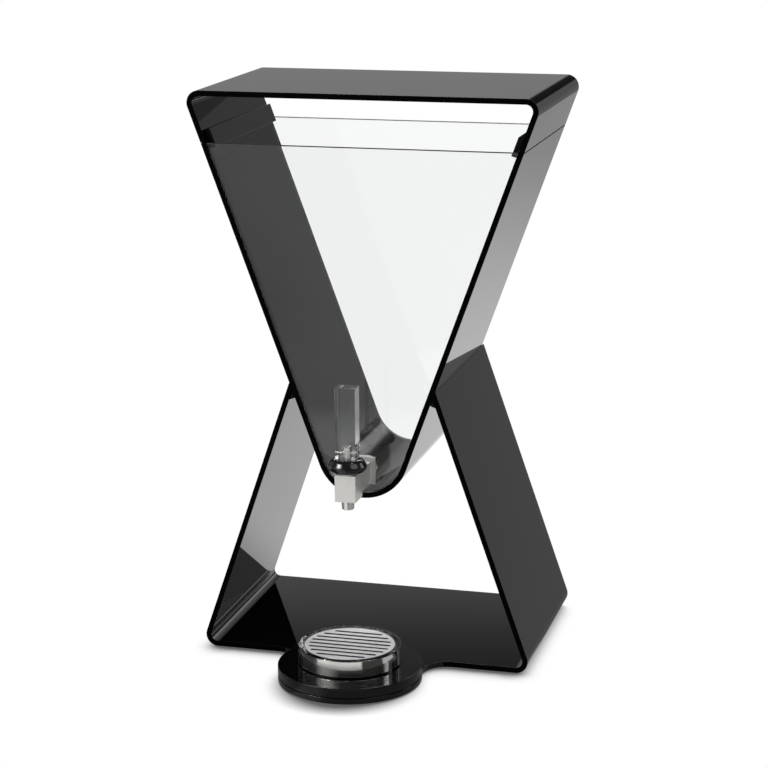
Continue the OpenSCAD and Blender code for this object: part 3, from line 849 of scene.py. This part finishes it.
class DISPENSER_OT_stage(bpy.types.Operator):
    """Set up the floor, the surroundings, the lamps and the camera"""

    bl_idname = "dispenser.stage"
    bl_label = "Studio"

    def execute(self, context):
        context.scene.view_settings.view_transform = "Standard"
        self.floor(context.scene)
        self.surroundings(context.scene)
        self.lamps(context.scene)
        self.camera(context.scene)
        return {"FINISHED"}

    def floor(self, scene):
        """White floor with the object's soft shadow, which glossy surfaces show lit in some places."""
        studio = settings().studio
        half = studio.floor_size / 2
        mesh = bpy.data.meshes.new("floor")
        corners = [(-half, -half, 0), (half, -half, 0), (half, half, 0), (-half, half, 0)]
        mesh.from_pydata(corners, [], [(0, 1, 2, 3)])
        floor = bpy.data.objects.new("floor", mesh)
        scene.collection.objects.link(floor)
        made = bpy.data.materials.new("floor")
        mesh.materials.append(made)
        shader = shader_of(made)
        path = shader.add("ShaderNodeLightPath")
        x, y, _z = shader.parts(shader.place())
        white = shader.glow(self.shadow(shader, x) * studio.floor_white)
        paint = shader.principled(Base_Color=shade(studio.floor), Roughness=0.9, Specular_IOR_Level=0.0)
        shown = shader.mixed(path["Is Diffuse Ray"], white, paint)
        shader.surface(shader.mixed(mirrored(path), shown, shader.glow(self.floor_level(x, y))))

    def floor_level(self, x, y):
        """Level of light that glossy surfaces show on the floor."""
        studio = settings().studio
        away = y - TRAY_AXIS.y
        places = {
            "x": x, "y": y, "slant": x - SLANT * y,
            "turn": x.maths("ARCTAN2", x, 0 - away), "reach": (x * x + away * away).root()}
        behind = past(places, FURTHER_BACK).between(studio.floor_near, studio.floor_middle)
        behind = past(places, LIT_BEHIND).between(studio.floor_far, behind)
        close = past(places, CLOSE).between(*CLOSE_LEVELS)
        patch = shaded(past(places, AHEAD), places, AHEAD_SHADES) + ASIDE_LEVEL * past(places, ASIDE)
        patch = past(places, PAST_CLOSE).between(close, patch)
        front = patch.between(studio.floor_front, studio.floor_patch)
        return past(places, BACK).at_least(past(places, RIGHT)).between(front, behind)

    def shadow(self, shader, x):
        """Level of light that the object's shadow leaves on the floor."""
        studio = settings().studio
        lean, back, up = SHADOW_TILT
        lean = x.eased(*SHADOW_SIDES).between(-lean, lean)
        tilt = shader.add("ShaderNodeCombineXYZ", {"X": lean, "Y": back, "Z": up})["Vector"]
        tilt = shader.add("ShaderNodeVectorMath", {0: tilt}, operation="NORMALIZE")["Vector"]
        reach = {"Distance": studio.shadow_reach, "Normal": tilt}
        air = shader.add("ShaderNodeAmbientOcclusion", reach, samples=SHADOW_SAMPLES)["AO"]
        return ((air / SHADOW_START).at_most(1.0) ** SHADOW_POWER).at_least(studio.shadow_depth)

    def surroundings(self, scene):
        """White where the camera sees them, and a dimmer studio where glossy surfaces show them."""
        studio = settings().studio
        scene.world = bpy.data.worlds.new("studio")
        shader = shader_of(scene.world)
        path = shader.add("ShaderNodeLightPath")
        direction = shader.parts(shader.add("ShaderNodeTexCoord")["Generated"])
        places = dict(zip("xyz", direction))
        level = shaded(studio.horizon, places, HORIZON_SHADES)
        for name, *edges in CARDS:
            level = past(places, edges).between(level, getattr(studio, name))
        plain = path["Is Diffuse Ray"].between(1.0, studio.ambient)
        shown = mirrored(path).between(plain, level)
        glow = shader.add("ShaderNodeBackground", {"Color": shown, "Strength": 1.0})["Background"]
        shader.add("ShaderNodeOutputWorld", {"Surface": glow})

    def lamps(self, scene):
        """Soft lamps that the camera doesn't see."""
        for name, place, width, height, power in LAMPS:
            lamp = bpy.data.lights.new(name, "AREA")
            lamp.shape = "RECTANGLE"
            lamp.size = width
            lamp.size_y = height
            lamp.energy = power
            lamp.spread = LAMP_SPREAD
            holder = bpy.data.objects.new(name, lamp)
            holder.location = place
            holder.rotation_euler = (LAMP_AIM - holder.location).to_track_quat("-Z", "Y").to_euler()
            holder.visible_camera = False
            scene.collection.objects.link(holder)

    def camera(self, scene):
        """Camera that looks down on the object from the front, a little from the right."""
        studio = settings().studio
        view = bpy.data.cameras.new("camera")
        view.lens = studio.lens
        view.sensor_width = SENSOR_WIDTH
        view.clip_end = CLIP_END
        holder = bpy.data.objects.new("camera", view)
        holder.location = studio.camera_place
        sight = (Vector(studio.camera_aim) - holder.location).to_track_quat("-Z", "Y")
        holder.rotation_mode = "QUATERNION"
        holder.rotation_quaternion = sight @ Quaternion((0, 0, 1), studio.camera_roll)
        scene.collection.objects.link(holder)
        scene.camera = holder


class DISPENSER_OT_black_sheets(bpy.types.Operator):
    """Finish the bent black sheets, their strips and the plinth"""

    bl_idname = "dispenser.black_sheets"
    bl_label = "Black sheets"

    def execute(self, context):
        sheet = settings().sheet
        finish_node("base_frame", "black_sheet", sheet.edge_ease)
        for name in ("tank_wall", "lid_shell"):
            finish_node(name, "black_sheet", sheet.edge_ease, SEAM, sheet.seam_ease)
        for name in ("lid_rail_left", "lid_rail_right", "cradle_bar_left", "cradle_bar_right"):
            finish_node(name, "black_strip", sheet.edge_ease)
        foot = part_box("tray_plinth")[0].z
        finish_node("tray_plinth", "black_disc", sheet.edge_ease, foot, settings().tray.plinth_ease)
        return {"FINISHED"}


class DISPENSER_OT_clear_panels(bpy.types.Operator):
    """Finish the clear front and back panels"""

    bl_idname = "dispenser.clear_panels"
    bl_label = "Clear panels"

    def execute(self, context):
        sheet = settings().sheet
        for name in ("front_panel", "back_panel"):
            finish_node(name, "bonded_panel", sheet.bond_ease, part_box(name)[1].z, sheet.panel_ease)
        return {"FINISHED"}


class DISPENSER_OT_foot_pads(bpy.types.Operator):
    """Finish the pads under the base"""

    bl_idname = "dispenser.foot_pads"
    bl_label = "Foot pads"

    def execute(self, context):
        finish_node("foot_pads", "seal_rubber", settings().sheet.edge_ease)
        return {"FINISHED"}


class DISPENSER_OT_tap_body(bpy.types.Operator):
    """Finish the tap's body and flange, and turn its spout"""

    bl_idname = "dispenser.tap_body"
    bl_label = "Tap body"

    def execute(self, context):
        tap = settings().tap
        for name in ("tap_body", "tap_flange"):
            finish_node(name, "steel_along_z", tap.casting_ease)
        self.spout(tap)
        return {"FINISHED"}

    def spout(self, tap):
        """Tapered spout with a round lip and a tail inside the body."""
        low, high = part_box("tap_spout")
        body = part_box("tap_body")[0].z
        r = node_radius("tap_spout")
        end_r = r - tap.spout_taper
        tail_r = tap.outlet_r + tap.tail_wall
        lip_r = (end_r - tap.outlet_r) / 2
        outline = arc(Vector((end_r - lip_r, low.z + lip_r)), lip_r, math.pi, 2 * math.pi)
        outline += [
            Vector((r, body)), Vector((tail_r, body)),
            Vector((tail_r, high.z)), Vector((tap.outlet_r, high.z))]
        lathe("spout_tube", outline, TAP_AXIS, "tap_spout", "turned_steel")


class DISPENSER_OT_tap_mounting(bpy.types.Operator):
    """Cut the shank's thread, chamfer its nut and finish the washers"""

    bl_idname = "dispenser.tap_mounting"
    bl_label = "Tap mounting"

    THREAD_FLANK = 1.2               # steepness of the thread's flanks: above 1 its root is flat
    NUT_FACE = 0.97                  # radius of the nut's end faces, as a share of the distance to its flats
    NUT_CHAMFER = math.radians(30)
    SIXTH = math.pi / 3              # a sixth of a turn, from flat to flat

    def execute(self, context):
        tap = settings().tap
        self.shank(tap)
        self.nut(tap)
        for name in ("outer_washer", "inner_washer"):
            finish_node(name, "seal_rubber", tap.small_ease)
        return {"FINISHED"}

    def shank(self, tap, sides=48, steps=8):
        """Tube with a real thread and a chamfer at both ends."""
        low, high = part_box("tap_shank")
        r = node_radius("tap_shank")
        rows = round((high.y - low.y) / tap.thread_pitch * steps)
        rings = []
        for i in range(rows + 1):
            y = low.y + (high.y - low.y) * i / rows
            chamfer = tap.thread_depth - min(y - low.y, high.y - y)
            ring = []
            for a in turns(sides):
                phase = ((y - low.y) / tap.thread_pitch - a / (2 * math.pi)) % 1
                cut = tap.thread_depth * min(1, self.THREAD_FLANK * abs(2 * phase - 1))
                ring.append(on_shank(r - max(cut, chamfer), a, y))
            rings.append(ring)
        for y in (high.y, low.y):
            rings.append([on_shank(tap.shank_bore_r, a, y) for a in turns(sides)])
        skinned("shank_thread", rings, "tap_shank", "turned_steel")

    def nut(self, tap, sides=96):
        """Hexagon nut with its corners turned off at both ends."""
        low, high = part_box("lock_nut")
        flat = (high.z - low.z) / 2
        face_r = self.NUT_FACE * flat
        bore = tap.nut_bore_r
        columns = []
        for a in turns(sides):
            past_flat = (a - math.pi / 2 + self.SIXTH / 2) % self.SIXTH - self.SIXTH / 2
            r = flat / math.cos(past_flat)
            drop = math.tan(self.NUT_CHAMFER) * (r - face_r)
            columns.append([on_shank(radius, a, y) for radius, y in (
                (face_r, low.y), (r, low.y + drop), (r, high.y - drop), (face_r, high.y),
                (bore, high.y), (bore, low.y))])
        skinned("hexagon_nut", columns, "lock_nut", "turned_steel")


class DISPENSER_OT_tap_valve(bpy.types.Operator):
    """Turn the bonnet, wind the spring and finish the rest of the valve"""

    bl_idname = "dispenser.tap_valve"
    bl_label = "Tap valve"

    def execute(self, context):
        tap = settings().tap
        self.bonnet(tap)
        self.spring(tap)
        finish_node("valve_stem", "turned_steel", tap.stem_ease)
        finish_node("seat_cup", "seal_rubber", tap.stem_ease)
        return {"FINISHED"}

    def bonnet(self, tap):
        """Round-edged cap that draws in upwards, and its plug in the chamber."""
        low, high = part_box("tap_bonnet")
        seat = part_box("tap_body")[1].z
        r = tap.bonnet_round
        below = Vector((node_radius("tap_bonnet") - r, seat + r))
        above = Vector((below.x - tap.bonnet_lean, high.z - r))
        side = math.atan2(tap.bonnet_lean, above.y - below.y)
        outline = [Vector((tap.stem_hole_r, low.z)), Vector((tap.plug_r, low.z)), Vector((tap.plug_r, seat))]
        outline += arc(below, r, -math.pi / 2, side) + arc(above, r, side, math.pi / 2)
        outline.append(Vector((tap.stem_hole_r, high.z)))
        lathe("bonnet_cap", outline, TAP_AXIS, "tap_bonnet", "moulded_black")

    def spring(self, tap, steps=32):
        """Round wire wound into a coil."""
        low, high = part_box("valve_spring")
        r = node_radius("valve_spring") - tap.wire_r
        rise = high.z - low.z - 2 * tap.wire_r
        count = tap.coil_turns * steps
        path = [
            upright(TAP_AXIS, r, 2 * math.pi * i / steps, low.z + tap.wire_r + rise * i / count)
            for i in range(count + 1)]
        piece = swept("spring_coil", path, tap.wire_r, "valve_spring", "turned_steel")
        joint = next(j for j in frame["record"]["behaviour"]["joints"] if j["name"] == "stem_lift")
        top = joint["deforming_nodes"][0]["fixed_end_z_m"]
        keep = 1 - joint["range_m"][1] / (top - low.z)
        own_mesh(piece)


class DISPENSER_OT_tap_handle(bpy.types.Operator):
    """Finish the handle and its pin"""

    bl_idname = "dispenser.tap_handle"
    bl_label = "Tap handle"

    def execute(self, context):
        tap = settings().tap
        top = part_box("tap_handle")[1].z
        finish_node("tap_handle", "clear_sheet", tap.handle_ease, top, tap.handle_top_ease)
        finish_node("handle_pin", "turned_steel", tap.small_ease)
        return {"FINISHED"}


class DISPENSER_OT_drip_tray(bpy.types.Operator):
    """Turn the drip tray and finish its grate"""

    bl_idname = "dispenser.drip_tray"
    bl_label = "Drip tray"

    def execute(self, context):
        tray = settings().tray
        low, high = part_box("drip_tray")
        r = node_radius("drip_tray")
        nest = GRATE_R + tray.play
        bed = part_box("drip_grate")[0].z
        foot = low.z + tray.stand_off
        outline = rounded([
            (0, foot, 0), (r, foot, tray.foot_ease), (r, high.z, tray.rim_ease),
            (nest, high.z, tray.rim_ease), (nest, bed, 0), (0, bed, 0)])
        lathe("tray_cup", outline, TRAY_AXIS, "drip_tray", "clear_sheet")
        finish_node("drip_grate", "grate_steel", tray.grate_ease)
        return {"FINISHED"}


class DISPENSER_PT_panel(bpy.types.Panel):
    """Lists the operators in the sidebar of the 3D view"""

    bl_idname = "DISPENSER_PT_panel"
    bl_label = "Drink dispenser"
    bl_space_type = "VIEW_3D"
    bl_region_type = "UI"
    bl_category = "Dispenser"

    def draw(self, context):
        for operator in OPERATORS:
            self.layout.operator(operator.bl_idname)


OPERATORS = (
    DISPENSER_OT_stage,
    DISPENSER_OT_black_sheets,
    DISPENSER_OT_clear_panels,
    DISPENSER_OT_foot_pads,
    DISPENSER_OT_tap_body,
    DISPENSER_OT_tap_mounting,
    DISPENSER_OT_tap_valve,
    DISPENSER_OT_tap_handle,
    DISPENSER_OT_drip_tray,
)
CLASSES = (
    SheetSettings, TapSettings, TraySettings, StudioSettings, DispenserSettings,
    *OPERATORS, DISPENSER_PT_panel)


def register():
    """Registers the classes and the scene's settings."""
    for cls in CLASSES:
        bpy.utils.register_class(cls)
    bpy.types.Scene.dispenser = PointerProperty(type=DispenserSettings)


def unregister():
    """Takes away what register added."""
    del bpy.types.Scene.dispenser
    for cls in reversed(CLASSES):
        bpy.utils.unregister_class(cls)


def main():
    """Makes everything in order."""
    register()
    for operator in OPERATORS:
        group, name = operator.bl_idname.split(".")
        getattr(getattr(bpy.ops, group), name)()


if __name__ == "__main__":
    main()
